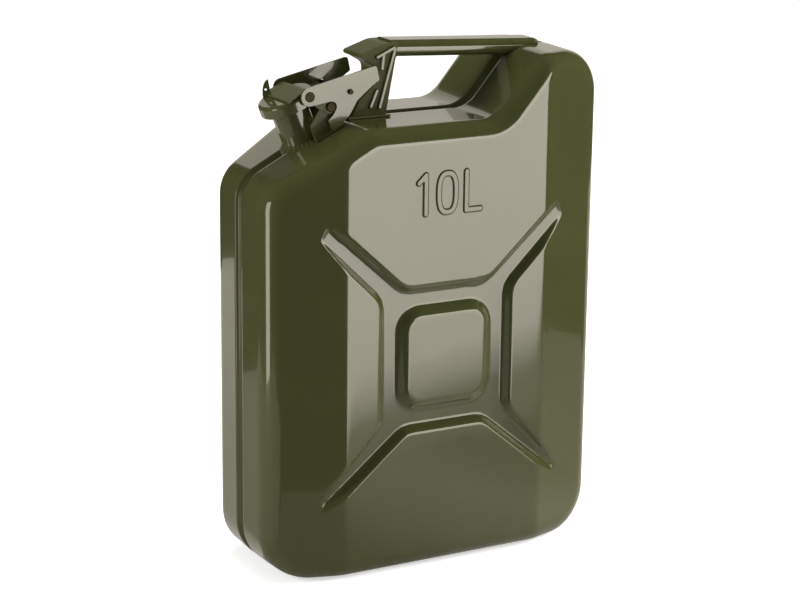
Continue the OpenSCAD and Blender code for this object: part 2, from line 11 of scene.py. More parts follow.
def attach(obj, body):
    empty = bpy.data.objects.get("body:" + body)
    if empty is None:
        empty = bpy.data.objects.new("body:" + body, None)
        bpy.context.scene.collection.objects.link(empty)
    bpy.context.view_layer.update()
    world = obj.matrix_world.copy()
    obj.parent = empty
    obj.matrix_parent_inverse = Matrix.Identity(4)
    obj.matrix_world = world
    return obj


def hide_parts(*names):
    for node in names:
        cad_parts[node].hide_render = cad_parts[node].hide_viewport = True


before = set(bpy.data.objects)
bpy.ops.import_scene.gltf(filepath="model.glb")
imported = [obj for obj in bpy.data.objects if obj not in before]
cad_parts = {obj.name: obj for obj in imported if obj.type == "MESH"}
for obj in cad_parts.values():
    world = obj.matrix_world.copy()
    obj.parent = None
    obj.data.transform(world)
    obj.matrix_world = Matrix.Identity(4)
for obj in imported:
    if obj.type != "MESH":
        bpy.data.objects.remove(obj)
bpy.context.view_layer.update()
MM = 0.001

# The camera stands where the photographer stood: to the front left of the can, a little above it.
# Its lens is a short telephoto, and the whole can fills the frame from top to bottom.
CAMERA_AZIMUTH, CAMERA_ELEVATION, CAMERA_ROLL = radians(-28.91), radians(15.22), radians(0.71)
CAMERA_DISTANCE = 1.7731
CAMERA_TARGET = Vector((0, 0, 0.1927))
CAMERA_LENS = 104.2
CAMERA_SHIFT = (-0.0094, -0.0083)
towards_camera = Vector((
    sin(CAMERA_AZIMUTH) * cos(CAMERA_ELEVATION),
    -cos(CAMERA_AZIMUTH) * cos(CAMERA_ELEVATION),
    sin(CAMERA_ELEVATION),
))
camera = bpy.data.objects.new("camera", bpy.data.cameras.new("camera"))
camera.data.lens = CAMERA_LENS
camera.data.shift_x, camera.data.shift_y = CAMERA_SHIFT
camera.location = CAMERA_TARGET + towards_camera * CAMERA_DISTANCE
camera.rotation_mode = "QUATERNION"
camera.rotation_quaternion = (
    (-towards_camera).to_track_quat("-Z", "Y") @ Quaternion((0, 0, 1), CAMERA_ROLL)
)
bpy.context.collection.objects.link(camera)
bpy.context.scene.camera = camera
bpy.context.scene.view_settings.view_transform = "Standard"


class Value:
    """A number that varies over a surface: one socket, with Python's arithmetic."""

    def __init__(self, finish, socket):
        self.finish, self.socket = finish, socket

    def maths(self, operation, a, b):
        node = self.finish.node("Math", dict(operation=operation), {0: a, 1: b})
        return node.value("Value")

    def __add__(self, other):
        return self.maths("ADD", self, other)

    def __sub__(self, other):
        return self.maths("SUBTRACT", self, other)

    def __rsub__(self, other):
        return self.maths("SUBTRACT", other, self)

    def __mul__(self, other):
        return self.maths("MULTIPLY", self, other)

    __radd__ = __add__
    __rmul__ = __mul__


class Made:
    """A node of a finish, whose outputs are read as values."""

    def __init__(self, finish, node):
        self.finish, self.node = finish, node

    def value(self, name):
        """The output with this name or identifier."""
        output = next(s for s in self.node.outputs if name in (s.identifier, s.name))
        return Value(self.finish, output)


class Finish:
    """A material: its principled shader's plain values, and nodes for what varies."""

    def __init__(self, name, **plain):
        self.material = bpy.data.materials.new(name)
        self.material.use_nodes = True
        self.tree = self.material.node_tree
        self.shader = self.tree.nodes["Principled BSDF"]
        for key, value in plain.items():
            socket = key.replace("_", " ").title().replace("Ior", "IOR")
            self.shader.inputs[socket].default_value = value

    def node(self, kind, settings=None, inputs=None):
        """Adds a node of a type, sets its settings first, then its sockets' values or links."""
        made = self.tree.nodes.new("ShaderNode" + kind)
        settings = dict(settings or {})
        stops = settings.pop("stops", None)
        for key, value in settings.items():
            setattr(made, key, value)
        if stops:
            ramp = made.color_ramp
            while len(ramp.elements) < len(stops):
                ramp.elements.new(0.5)
            for element, (place, colour) in zip(ramp.elements, stops):
                element.position, element.color = place, colour
        for key, value in (inputs or {}).items():
            socket = made.inputs[key] if isinstance(key, int) else next(
                s for s in made.inputs if key in (s.identifier, s.name)
            )
            if isinstance(value, Value):
                self.tree.links.new(value.socket, socket)
            else:
                socket.default_value = value
        return Made(self, made)

    def place(self):
        """The point of the surface in metres."""
        return self.node("TexCoord").value("Object")

    def noise(self, scale, detail=2.0):
        """Cloudy noise round 0.5, with this many waves in a metre."""
        inputs = {"Vector": self.place(), "Scale": scale, "Detail": detail}
        return self.node("TexNoise", inputs=inputs).value("Fac")

    def ramp(self, factor, stops):
        """Colour that goes through stops as the factor goes from 0 to 1."""
        return self.node("ValToRGB", dict(stops=stops), {"Fac": factor}).value("Color")

    def bump(self, height, depth):
        """Fine relief, where height times depth is in metres."""
        made = self.node("Bump", inputs={"Height": height, "Distance": depth, "Strength": 1.0})
        self.feed("Normal", made.value("Normal"))

    def feed(self, name, value):
        self.tree.links.new(value.socket, self.shader.inputs[name])


# The studio is a white sweep: one pale floor that runs out of the picture, in a plain pale room.
# The camera sees both as white, and the glossy paint sees a dark room between the cards.
FLOOR_SIZE = 12.0
FLOOR_WHITE = (0.9, 0.9, 0.88, 1)
FLOOR_GLOW = 0.55
BLACK, WHITE = (0, 0, 0, 1), (1, 1, 1, 1)
floor_mesh = bpy.data.meshes.new("floor")
half = FLOOR_SIZE / 2
floor_corners = [(-half, -half, 0), (half, -half, 0), (half, half, 0), (-half, half, 0)]
floor_mesh.from_pydata(floor_corners, [], [(0, 1, 2, 3)])
floor = bpy.data.objects.new("floor", floor_mesh)
bpy.context.collection.objects.link(floor)
floor_finish = Finish(
    "studio_floor", base_color=FLOOR_WHITE, roughness=0.9, emission_color=WHITE,
    emission_strength=FLOOR_GLOW, specular_ior_level=0.0,
)
seen = floor_finish.node("LightPath").value("Is Camera Ray")
floor_finish.feed("Emission Color", floor_finish.ramp(seen, [(0, BLACK), (1, WHITE)]))
floor_mesh.materials.append(floor_finish.material)
floor.visible_glossy = False

ROOM_LIGHT, ROOM_STRENGTH = (0.5, 0.5, 0.49, 1), 0.55
ROOM_DARK = (0.02, 0.02, 0.02, 1)
world = bpy.data.worlds.new("studio")
world.use_nodes = True
bpy.context.scene.world = world
world_nodes = world.node_tree.nodes
plain_light = world_nodes["Background"]
plain_light.inputs["Color"].default_value = ROOM_LIGHT
plain_light.inputs["Strength"].default_value = ROOM_STRENGTH
dark = world_nodes.new("ShaderNodeBackground")
dark.inputs["Color"].default_value = ROOM_DARK
white = world_nodes.new("ShaderNodeBackground")
white.inputs["Color"].default_value = WHITE
mirrored = world_nodes.new("ShaderNodeMixShader")
chosen = world_nodes.new("ShaderNodeMixShader")
path = world_nodes.new("ShaderNodeLightPath")
for source, target in (
    (path.outputs["Is Glossy Ray"], mirrored.inputs[0]),
    (plain_light.outputs[0], mirrored.inputs[1]),
    (dark.outputs[0], mirrored.inputs[2]),
    (path.outputs["Is Camera Ray"], chosen.inputs[0]),
    (mirrored.outputs[0], chosen.inputs[1]),
    (white.outputs[0], chosen.inputs[2]),
    (chosen.outputs[0], world_nodes["World Output"].inputs["Surface"]),
):
    world.node_tree.links.new(source, target)

# Four soft lamps light the can: one overhead, one in front and one at each side. The paint doesn't
# mirror them.
for name, place, size, watts in (
    ("lamp_overhead", (0.2, 0.3, 2.2), (1.8, 1.8), 22),
    ("lamp_left", (-2.4, 0.42, 0.9), (0.8, 1.6), 46),
    ("lamp_front", (0.3, -2.6, 1.2), (1.6, 1.6), 3),
    ("lamp_right", (2.7, -0.72, 1.1), (1.6, 1.6), 132),
):
    lamp = bpy.data.objects.new(name, bpy.data.lights.new(name, "AREA"))
    lamp.data.shape = "RECTANGLE"
    lamp.data.size, lamp.data.size_y = size
    lamp.data.energy = watts
    lamp.location = place
    lamp.rotation_mode = "QUATERNION"
    lamp.rotation_quaternion = (CAMERA_TARGET - Vector(place)).to_track_quat("-Z", "Y")
    lamp.visible_glossy = False
    bpy.context.collection.objects.link(lamp)

# Glowing cards of warm white stand round the can and lie at its foot. Only glossy surfaces see
# them, and they give the paint its pale reflections.
WARM = np.array((1, 0.93, 0.83))


def glow(name, corners, stops, along, strength=1.0):
    """A flat glowing card that only glossy surfaces see.

    Its glow is given by stops along a direction. Each is a distance in metres from the can's foot
    and a brightness.
    """
    mesh = bpy.data.meshes.new(name)
    mesh.from_pydata(corners, [], [range(len(corners))])
    made = bpy.data.objects.new(name, mesh)
    bpy.context.collection.objects.link(made)
    finish = Finish(
        name, base_color=BLACK, roughness=1.0, specular_ior_level=0.0, emission_strength=strength
    )
    dot = finish.node("VectorMath", dict(operation="DOT_PRODUCT"), {0: finish.place(), 1: along})
    low, high = stops[0][0], stops[-1][0]
    shares = [((at - low) / (high - low), (*(bright * WARM), 1)) for at, bright in stops]
    share = (dot.value("Value") - low) * (1 / (high - low))
    finish.feed("Emission Color", finish.ramp(share, shares))
    finish.material.cycles.emission_sampling = "NONE"
    mesh.materials.append(finish.material)
    made.visible_camera = made.visible_diffuse = made.visible_shadow = False
    made.visible_transmission = False


def card(name, azimuth, distance, width, foot, top, stops, lean=0.0, strength=1.0):
    """An upright card that faces the can, with its glow's lines leaning up to the right."""
    middle = Vector((sin(azimuth), -cos(azimuth), 0)) * distance
    across = Vector((cos(azimuth), sin(azimuth), 0))
    left, right = middle - across * width / 2, middle + across * width / 2
    corners = [(*left.xy, foot), (*right.xy, foot), (*right.xy, top), (*left.xy, top)]
    glow(name, corners, stops, Vector((0, 0, 1)) - across * lean, strength)


# A tall soft box stands to the front right, and fades out towards its foot. A narrow strip stands
# to the left, and a backdrop behind the can.
card(
    "soft_box", radians(30), distance=0.9, width=0.62, foot=-0.45, top=0.43,
    lean=0.37, strength=3.4,
    stops=[(-0.6, 0.14), (-0.125, 0.17), (-0.07, 0.86), (0.02, 0.94),
           (0.12, 1), (0.25, 1.02), (0.29, 1.3), (0.8, 1.3)],
)
card(
    "strip_left", radians(-79), distance=0.7, width=0.17, foot=-0.4, top=0.42,
    stops=[(-0.5, 3.2), (0.5, 3.2)],
)
card(
    "backdrop", radians(151), distance=1.3, width=1.6, foot=-0.05, top=1.15,
    stops=[(-0.1, 0.58), (1.2, 0.6)],
)

# The can stands on white paper that the paint mirrors up to its edges, and the dark room past them.
glow(
    "paper_rear", [(-0.15, 0, 0), (1.4, 0, 0), (1.4, 0.9, 0), (-0.535, 0.9, 0)],
    [(0, 0.5), (0.25, 0.52), (0.6, 0.68), (0.9, 0.74)], along=(0, 1, 0),
)
glow(
    "paper_left",
    [(-0.15, 0, 0), (-0.34, 0.444, 0), (-0.64, 0.444, 0), (-0.64, -0.4, 0), (-0.3, -0.4, 0)],
    [(-0.4, 0.32), (0.5, 0.3)], along=(0, 1, 0),
)
glow(
    "paper_front", [(-0.2, -0.24, 0), (0.66, -0.42, 0), (0.62, 0, 0), (-0.2, 0, 0)],
    [(-0.2, 0.2), (0, 0.2), (0.115, 0.45), (0.2, 0.6), (0.3, 0.38), (0.8, 0.35)],
    along=(1, -0.5, 0),
)

# The two half shells are pressed from thin steel sheet and painted glossy olive green. Each carries
# the cross with its raised pad, and the outer bands of its face lean back. Their edges turn into
# the seam's groove, where they are welded.
BODY_W, BODY_D, BODY_H = 284 * MM, 122 * MM, 386 * MM
DECK_H = 341 * MM
EDGE_R = 13 * MM
WALL_DRAFT = 0.8 * MM
FACE_HALF = 84.02 * MM
HUMP_X, HUMP_SLOPE = 45.6 * MM, radians(50)
BROW_X, SHOULDER_SLOPE = -62 * MM, radians(27.5)
BAND_TILT = radians(17)
CREASE_SOFTNESS = 2.2 * MM
NECK_X, NECK_TILT = -90.7 * MM, radians(22.2)
NECK_R = 14 * MM
SHEET_T = 0.9 * MM
GROOVE_DEPTH, GROOVE_HALF, GROOVE_FLOOR = 5.5 * MM, 6 * MM, 1.8 * MM
POINT_STEP, ARC_POINT_STEP = 2.7 * MM, radians(5)

shoulder_end = DECK_H - tan(SHOULDER_SLOPE) * (BODY_W / 2 + BROW_X)
neck_foot = Vector((NECK_X, 0, DECK_H - tan(SHOULDER_SLOPE) * (BROW_X - NECK_X)))
neck_up = Vector((-sin(NECK_TILT), 0, cos(NECK_TILT)))
neck_back = Vector((cos(NECK_TILT), 0, sin(NECK_TILT)))

# Corners of the side view, anticlockwise from the rear foot, each with its radius
BODY_CORNERS = [
    (BODY_W / 2, 0, 37 * MM),
    (BODY_W / 2, BODY_H, 35 * MM),
    (HUMP_X + (BODY_H - DECK_H) / tan(HUMP_SLOPE), BODY_H, 20 * MM),
    (HUMP_X, DECK_H, 25 * MM),
    (BROW_X, DECK_H, 24 * MM),
    (-BODY_W / 2, shoulder_end, 27 * MM),
    (-BODY_W / 2, 0, 37 * MM),
]


def rounded_outline(corners, step, arc_step):
    """Points along an outline with rounded corners, and the outward normal at each.

    An arc's point is its centre plus the radius along a normal that turns from one side's to the
    next's, and the straight stretches between arcs are divided into equal steps.
    """
    places, normals = [], []
    rounded = []
    for i, (x, z, r) in enumerate(corners):
        here = np.array((x, z))
        before = np.array(corners[i - 1][:2])
        after = np.array(corners[(i + 1) % len(corners)][:2])
        way_in = (here - before) / np.linalg.norm(here - before)
        way_out = (after - here) / np.linalg.norm(after - here)
        turn = atan2(way_in[0] * way_out[1] - way_in[1] * way_out[0], way_in @ way_out)
        out = np.array((way_in[1], -way_in[0]))
        side = np.sign(turn)
        centre = here - way_in * r * tan(abs(turn) / 2) - side * r * out
        angle = np.linspace(0, turn, max(3, round(abs(turn) / arc_step)))
        normal = np.stack((
            out[0] * np.cos(angle) - out[1] * np.sin(angle),
            out[0] * np.sin(angle) + out[1] * np.cos(angle),
        ), 1)
        rounded.append((centre + side * r * normal, normal))
    for i, (place, normal) in enumerate(rounded):
        places.append(place)
        normals.append(normal)
        start, end = place[-1], rounded[(i + 1) % len(rounded)][0][0]
        count = max(1, round(np.linalg.norm(end - start) / step))
        share = (np.arange(1, count) / count)[:, None]
        places.append(start + (end - start) * share)
        normals.append(np.repeat(normal[-1:], count - 1, 0))
    return np.concatenate(places), np.concatenate(normals)


def face_height(x):
    """Distance of the big face from the seam: flat in the middle, leaning back in the bands."""
    past = np.abs(x) - FACE_HALF
    return BODY_D / 2 - tan(BAND_TILT) * (past + np.sqrt(past ** 2 + CREASE_SOFTNESS ** 2)) / 2


def smooth(share):
    """A step from 0 to 1 with round shoulders: three shares squared less two shares cubed."""
    share = np.clip(share, 0, 1)
    return share ** 2 * (3 - 2 * share)


def gap_to_line(x, z, start, end):
    """Distance of each point from the nearest point of a straight line between two ends."""
    (ax, az), (bx, bz) = start, end
    share = ((x - ax) * (bx - ax) + (z - az) * (bz - az)) / ((bx - ax) ** 2 + (bz - az) ** 2)
    share = np.clip(share, 0, 1)
    return np.hypot(x - ax - share * (bx - ax), z - az - share * (bz - az))


def depth_inside(x, z, outline):
    """Distance of each point inside an outline from it, and 0 outside.

    A point is inside where a level line from it crosses the outline an odd number of times.
    """
    nearest = np.full(x.shape, np.inf)
    crossings = np.zeros(x.shape, int)
    for (ax, az), (bx, bz) in zip(outline, np.roll(outline, -1, 0)):
        nearest = np.minimum(nearest, gap_to_line(x, z, (ax, az), (bx, bz)))
        if az != bz:
            crosses = ((az > z) != (bz > z)) & (x < (bx - ax) * (z - az) / (bz - az) + ax)
            crossings += crosses
    return np.where(crossings % 2 == 1, nearest, 0)


# The cross: its middle's height and half width, its depth and the run of its walls, and its right
# half's corners and radii as shares of the half width
CROSS_Z, WAIST, CROSS_DEPTH, CROSS_RUN = 165 * MM, 57 * MM, 5.5 * MM, 6.5 * MM
CROSS_SHARES = [
    (0.57, -1, 0.25), (1.8, -2.02, 0.05), (1.86, -1.74, 0.05), (1, -0.82, 0.25),
    (1, 0.82, 0.25), (1.9, 1.7, 0.05), (1.7, 2, 0.05), (0.6, 1, 0.25),
]
PAD_HALF_W, PAD_HALF_H, PAD_RUN, PAD_R = 41 * MM, 41.5 * MM, 9 * MM, 20 * MM
CROSS_BLEND, BLEND_RUN = 1.4 * MM, 8 * MM
CROSS_ARC_STEP, PAD_ARC_STEP = radians(15), radians(10)
WHOLE_SIDE = 1.0
cross_right = [(x * WAIST, CROSS_Z + z * WAIST, r * WAIST) for x, z, r in CROSS_SHARES]
cross_left = [(-x, z, r) for x, z, r in reversed(cross_right)]
cross_line, _ = rounded_outline(cross_right + cross_left, WHOLE_SIDE, CROSS_ARC_STEP)
pad_line, _ = rounded_outline([
    (x * PAD_HALF_W, CROSS_Z + z * PAD_HALF_H, PAD_R)
    for x, z in ((1, -1), (1, 1), (-1, 1), (-1, -1))
], WHOLE_SIDE, PAD_ARC_STEP)


def pressed_face(x, z):
    """Height of the outer face: the lower of the plain face and the cross's floor, walls and pad.

    The lower of two heights is half their sum less half their softened difference.
    """
    plain = face_height(x)
    wall = smooth(depth_inside(x, z, cross_line) / CROSS_RUN)
    pad = smooth(depth_inside(x, z, pad_line) / PAD_RUN)
    pressed = BODY_D / 2 - CROSS_DEPTH * wall * (1 - pad)
    blend = CROSS_BLEND * smooth((np.abs(x) - FACE_HALF) / BLEND_RUN)
    return (plain + pressed - np.sqrt((plain - pressed) ** 2 + blend ** 2)) / 2


def surface(name, rings, closed_ways=(False, True)):
    """A mesh through an array of rings of points, with quads between neighbours."""
    rows, columns = rings.shape[:2]
    mesh = bpy.data.meshes.new(name)
    index = np.arange(rows * columns).reshape(rows, columns)
    if closed_ways[1]:
        index = np.concatenate((index, index[:, :1]), 1)
    if closed_ways[0]:
        index = np.concatenate((index, index[:1]), 0)
    quads = np.stack((index[:-1, :-1], index[:-1, 1:], index[1:, 1:], index[1:, :-1]), -1)
    quads = quads.reshape(-1, 4)
    mesh.vertices.add(rows * columns)
    mesh.vertices.foreach_set("co", rings.reshape(-1).astype(np.float32))
    mesh.loops.add(quads.size)
    mesh.loops.foreach_set("vertex_index", quads.reshape(-1))
    mesh.polygons.add(len(quads))
    mesh.polygons.foreach_set("loop_start", np.arange(0, quads.size, 4))
    mesh.update(calc_edges=True)
    mesh.polygons.foreach_set("use_smooth", np.ones(len(quads), bool))
    made = bpy.data.objects.new(name, mesh)
    bpy.context.collection.objects.link(made)
    return made


SAME_POINT = 2e-6


def closed_mesh(obj, drop=None):
    """Merges doubled points, drops faces whose points are all marked, and turns faces outward."""
    shape = bmesh.new()
    shape.from_mesh(obj.data)
    shape.verts.ensure_lookup_table()
    if drop is not None:
        faces = [f for f in shape.faces if all(drop[v.index] for v in f.verts)]
        bmesh.ops.delete(shape, geom=faces, context="FACES")
    bmesh.ops.remove_doubles(shape, verts=shape.verts, dist=SAME_POINT)
    bmesh.ops.recalc_face_normals(shape, faces=shape.faces)
    shape.to_mesh(obj.data)
    shape.free()


# How many rings of points each stretch of the sheet's section has. Two of the wall's three lie close
# to its ends, so the shading keeps the wall flat.
GROOVE_RINGS, EDGE_RINGS, FACE_RINGS = 9, 11, 120
WALL_SHARES = (0.03, 0.5, 0.97)
INNER_GROOVE_RINGS, INNER_EDGE_RINGS, INNER_FACE_RINGS = 4, 4, 7


def ring_at(line, y):
    """A ring of points: an outline in the side view, at its distance from the seam."""
    return np.stack((line[:, 0], np.broadcast_to(y, len(line)), line[:, 1]), 1)


def outer_skin(line, normal, centre):
    """Rings from the seam's groove round the edge and over the face to its middle."""
    rings = []
    for y in np.linspace(0, GROOVE_HALF, GROOVE_RINGS):
        inset = GROOVE_DEPTH * (1 - smooth((y - GROOVE_FLOOR) / (GROOVE_HALF - GROOVE_FLOOR)))
        rings.append(ring_at(line - inset * normal, y))
    wall_end = line - WALL_DRAFT * normal
    wall_end = ring_at(wall_end, face_height(wall_end[:, 0]) - EDGE_R)
    groove_end = rings[-1]
    for share in WALL_SHARES:
        rings.append(groove_end + (wall_end - groove_end) * share)
    for angle in np.linspace(0, pi / 2, EDGE_RINGS):
        p = line - (WALL_DRAFT + EDGE_R * (1 - cos(angle))) * normal
        rings.append(ring_at(p, face_height(p[:, 0]) - EDGE_R * (1 - sin(angle))))
    last = line - (WALL_DRAFT + EDGE_R) * normal
    for share in np.linspace(0, 1, FACE_RINGS)[1:]:
        p = last + (centre - last) * share
        rings.append(ring_at(p, pressed_face(p[:, 0], p[:, 1])))
    return np.array(rings)


def inner_skin(line, normal, centre):
    """The same less the sheet's thickness, with far fewer rings, from the middle to the seam."""
    rings = []
    for y in np.linspace(0, GROOVE_HALF, INNER_GROOVE_RINGS):
        inset = SHEET_T + GROOVE_DEPTH * (1 - smooth(y / GROOVE_HALF))
        rings.append(ring_at(line - inset * normal, y))
    inner_r = EDGE_R - SHEET_T
    for angle in np.linspace(0, pi / 2, INNER_EDGE_RINGS):
        p = line - (SHEET_T + inner_r * (1 - cos(angle))) * normal
        rings.append(ring_at(p, face_height(p[:, 0]) - SHEET_T - inner_r * (1 - sin(angle))))
    last = line - EDGE_R * normal
    deepest = BODY_D / 2 - CROSS_DEPTH
    for share in np.linspace(0, 1, INNER_FACE_RINGS)[1:]:
        p = last + (centre - last) * share
        rings.append(ring_at(p, np.minimum(face_height(p[:, 0]), deepest) - SHEET_T))
    return np.array(rings)[::-1]


line, normal = rounded_outline(BODY_CORNERS, POINT_STEP, ARC_POINT_STEP)
middle = np.array((0, CROSS_Z))
half_rings = np.concatenate((inner_skin(line, normal, middle), outer_skin(line, normal, middle)))

# Points inside the neck's hole move out to its rim, so the hole is round
HOLE_LAP, HOLE_REACH = 0.4 * MM, 20 * MM
hole_r = NECK_R - HOLE_LAP
axis_up, foot = np.array(neck_up), np.array(neck_foot)
away = half_rings - foot
along = away @ axis_up
across = away - along[..., None] * axis_up
radius = np.linalg.norm(across, axis=-1)
in_hole = (radius < hole_r) & (np.abs(along) < HOLE_REACH)
stretch = (hole_r / np.maximum(radius, 1e-9))[..., None]
at_rim = foot + along[..., None] * axis_up + across * stretch
half_rings = np.where(in_hole[..., None], at_rim, half_rings)

PAINT = (0.062, 0.066, 0.021, 1)
PAINT_DEEP = (0.052, 0.056, 0.017, 1)
PAINT_COAT_IOR = 1.6


def olive_paint(name, clouds, grain, depth, **plain):
    """Olive green paint with clouds of a deeper shade and a fine grain.

    Clouds and grain are noises, each given by its waves in a metre and its detail. The grain's
    depth is in metres.
    """
    made = Finish(name, coat_ior=PAINT_COAT_IOR, **plain)
    made.feed("Base Color", made.ramp(made.noise(*clouds), [(0.3, PAINT_DEEP), (0.7, PAINT)]))
    made.bump(made.noise(*grain), depth)
    return made


paint = olive_paint(
    "olive_gloss_paint", (9.0, 3.0), (30.0, 1.0), 0.3 * MM,
    roughness=0.16, coat_weight=1.0, coat_roughness=0.03,
)
paint.feed("Roughness", paint.noise(60.0) * 0.06 + 0.13)

for side, node in ((-1, "shell_near"), (1, "shell_far")):
    rings = half_rings * (1, side, 1)
    shell = surface("half_" + node, rings)
    closed_mesh(shell, in_hole.reshape(-1))
    shell.data.materials.append(paint.material)
    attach(shell, "can")
    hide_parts(node)

# The capacity mark is pressed out of the near half shell, above the cross. Its strokes are rounded
# ridges of the same painted sheet, with round ends, and the zero is one closed ridge.
MARK_BASE, MARK_TOP = 275.5 * MM, 304.5 * MM
MARK_LEFT, MARK_RIGHT, MARK_MARGIN = -31 * MM, 32 * MM, 5 * MM
STROKE_HALF, MARK_HEIGHT, MARK_SLOPE = 2.3 * MM, 0.9 * MM, 1.5 * MM
MARK_STEP = 0.45 * MM
MARK_SUNK = 0.2 * MM
ZERO_X, ZERO_HALF_W, ZERO_POWER, ZERO_POINTS = -1.5 * MM, 7.2 * MM, 0.75, 48
zero_middle, zero_half_h = (MARK_BASE + MARK_TOP) / 2, (MARK_TOP - MARK_BASE) / 2
zero_angle = np.linspace(0, 2 * pi, ZERO_POINTS + 1)
# A circle with fuller corners: cosine and sine to a power below one, with their signs kept
zero_wave = np.stack((np.cos(zero_angle), np.sin(zero_angle)), 1)
zero_wave = np.sign(zero_wave) * np.abs(zero_wave) ** ZERO_POWER
MARK_STROKES = [
    [(-25.5 * MM, MARK_TOP - 5.5 * MM), (-19.6 * MM, MARK_TOP), (-19.6 * MM, MARK_BASE)],
    zero_wave * (ZERO_HALF_W, zero_half_h) + (ZERO_X, zero_middle),
    [(14.5 * MM, MARK_TOP), (14.5 * MM, MARK_BASE), (26.5 * MM, MARK_BASE)],
]
mark_x, mark_z = np.meshgrid(
    np.arange(MARK_LEFT, MARK_RIGHT, MARK_STEP),
    np.arange(MARK_BASE - MARK_MARGIN, MARK_TOP + MARK_MARGIN, MARK_STEP),
)
stroke_gap = np.min([
    gap_to_line(mark_x, mark_z, start, end)
    for stroke in MARK_STROKES for start, end in zip(stroke[:-1], stroke[1:])
], 0)
rise = smooth((STROKE_HALF - stroke_gap) / MARK_SLOPE + 0.5)
mark_y = MARK_SUNK - BODY_D / 2 - (MARK_HEIGHT + MARK_SUNK) * rise
front = np.stack((mark_x, mark_y, mark_z), -1)
back = front.copy()
back[1:-1, 1:-1, 1] = (SHEET_T - BODY_D) / 2
mark = surface("capacity_mark", np.concatenate((front, back[::-1])), (True, False))
closed_mesh(mark)
mark.data.materials.append(paint.material)
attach(mark, "can")

# One weld joins the two half shells. It runs round the bottom of their groove, from the neck's rear
# to its front, laid down in overlapping drops that wander a little, and is painted with the shells.
BEAD_HALF, BEAD_HEIGHT, BEAD_FOOT, DROP = 1.7 * MM, 1.5 * MM, 0.5 * MM, 3.1 * MM
BEAD_SIDES, BEAD_WANDER, BEAD_LAP = 10, 0.3 * MM, 1 * MM
BEAD_POINT_STEP, BEAD_ARC_STEP = 0.75 * MM, radians(1.2)
WANDER_LENGTHS = (5.3 * MM, 12.7 * MM, 29 * MM)
bead_line, bead_normal = rounded_outline(BODY_CORNERS, BEAD_POINT_STEP, BEAD_ARC_STEP)
bead_line = bead_line - GROOVE_DEPTH * bead_normal
from_foot = bead_line - np.array((neck_foot.x, neck_foot.z))
up = np.array((neck_up.x, neck_up.z))
along = from_foot @ up
aside = np.linalg.norm(from_foot - along[:, None] * up, axis=1)
clear = (aside > NECK_R - BEAD_LAP) | (np.abs(along) > HOLE_REACH)
first = np.flatnonzero(clear & ~np.roll(clear, 1))[0]
order = (np.arange(clear.sum()) + first) % len(clear)
bead_line, bead_normal = bead_line[order], bead_normal[order]
steps = np.linalg.norm(np.diff(bead_line, axis=0), axis=1)
run = np.concatenate(((0,), np.cumsum(steps)))


def wander(run, phase):
    """Three slow sines of unrelated lengths, added: a hand's drift between -1 and 1."""
    waves = [np.sin(run / length + i * phase) for i, length in enumerate(WANDER_LENGTHS, 1)]
    return sum(waves) / len(waves)


def weld_section(run):
    """Rows of a bead's section: sideways and upward shares of its size, uneven from drop to drop.

    Each is a circle whose lower half is flattened into the sheet, times a swelling that rises and
    falls once a drop.
    """
    angle = np.linspace(0, 2 * pi, BEAD_SIDES + 1)[:-1]
    drops = np.abs(np.cos(pi * run / DROP + 0.8 * wander(run, 1)))
    swell = 0.7 + 0.3 * drops + 0.28 * wander(run, 4)
    sideways = (0.85 + 0.25 * wander(run, 2))[:, None] * np.cos(angle)
    upward = swell[:, None] * np.maximum(np.sin(angle), -BEAD_FOOT / BEAD_HEIGHT)
    return sideways, upward


sideways, upward = weld_section(run)
bead = np.empty((len(run), BEAD_SIDES, 3))
bead[..., 0] = bead_line[:, :1] + BEAD_HEIGHT * upward * bead_normal[:, :1]
bead[..., 1] = BEAD_HALF * sideways + BEAD_WANDER * wander(run, 3)[:, None]
bead[..., 2] = bead_line[:, 1:] + BEAD_HEIGHT * upward * bead_normal[:, 1:]
ends = bead[[0, -1]].mean(1, keepdims=True).repeat(BEAD_SIDES, 1)
seam = surface("seam_bead", np.concatenate((ends[:1], bead, ends[1:])), (False, True))
closed_mesh(seam)
weld_paint = olive_paint(
    "olive_gloss_on_weld", (300.0,), (900.0, 3.0), 0.25 * MM,
    roughness=0.2, coat_weight=1.0, coat_roughness=0.05,
)
seam.data.materials.append(weld_paint.material)
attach(seam, "can")
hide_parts("seam_weld")

# The neck's tube is welded to the shoulder all round. The weld is a painted fillet in lumps, wider
# at the front and rear, where it fills the seam's groove.
FILLET_W, FILLET_H, FILLET_FOOT = 3.4 * MM, 3.1 * MM, 6.5 * MM
# The fillet's section, from the tube's wall over its face and back: shares of its width and height
FILLET_REACH = np.array((-0.04, -0.04, 0.1, 0.3, 0.62, 1.0, 1.08))
FILLET_CLIMB = np.array((-9.0, 1.0, 0.66, 0.4, 0.2, 0.0, -9.0))
FILLET_POINTS, LUMPS = 216, 13
turn = np.linspace(0, 2 * pi, FILLET_POINTS + 1)[:-1]
lump = np.abs(np.cos(turn * LUMPS + 0.7 * np.sin(3 * turn)))
lump = 0.72 + 0.3 * lump + 0.16 * np.sin(2 * turn + 1)
radius = NECK_R + FILLET_W * FILLET_REACH * lump[:, None]
rise = np.maximum(FILLET_H * FILLET_CLIMB * lump[:, None], -FILLET_FOOT)
slant = radius * np.cos(turn)[:, None] * tan(SHOULDER_SLOPE - NECK_TILT)
fillet = (
    foot + radius[..., None] * np.cos(turn)[:, None, None] * np.array(neck_back)
    + (radius * np.sin(turn)[:, None])[..., None] * np.array((0, 1, 0))
    + (rise + slant)[..., None] * axis_up
)
neck_weld = surface("neck_weld", fillet, (True, True))
closed_mesh(neck_weld)
neck_weld.data.materials.append(weld_paint.material)
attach(neck_weld, "can")
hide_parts("neck_collar")

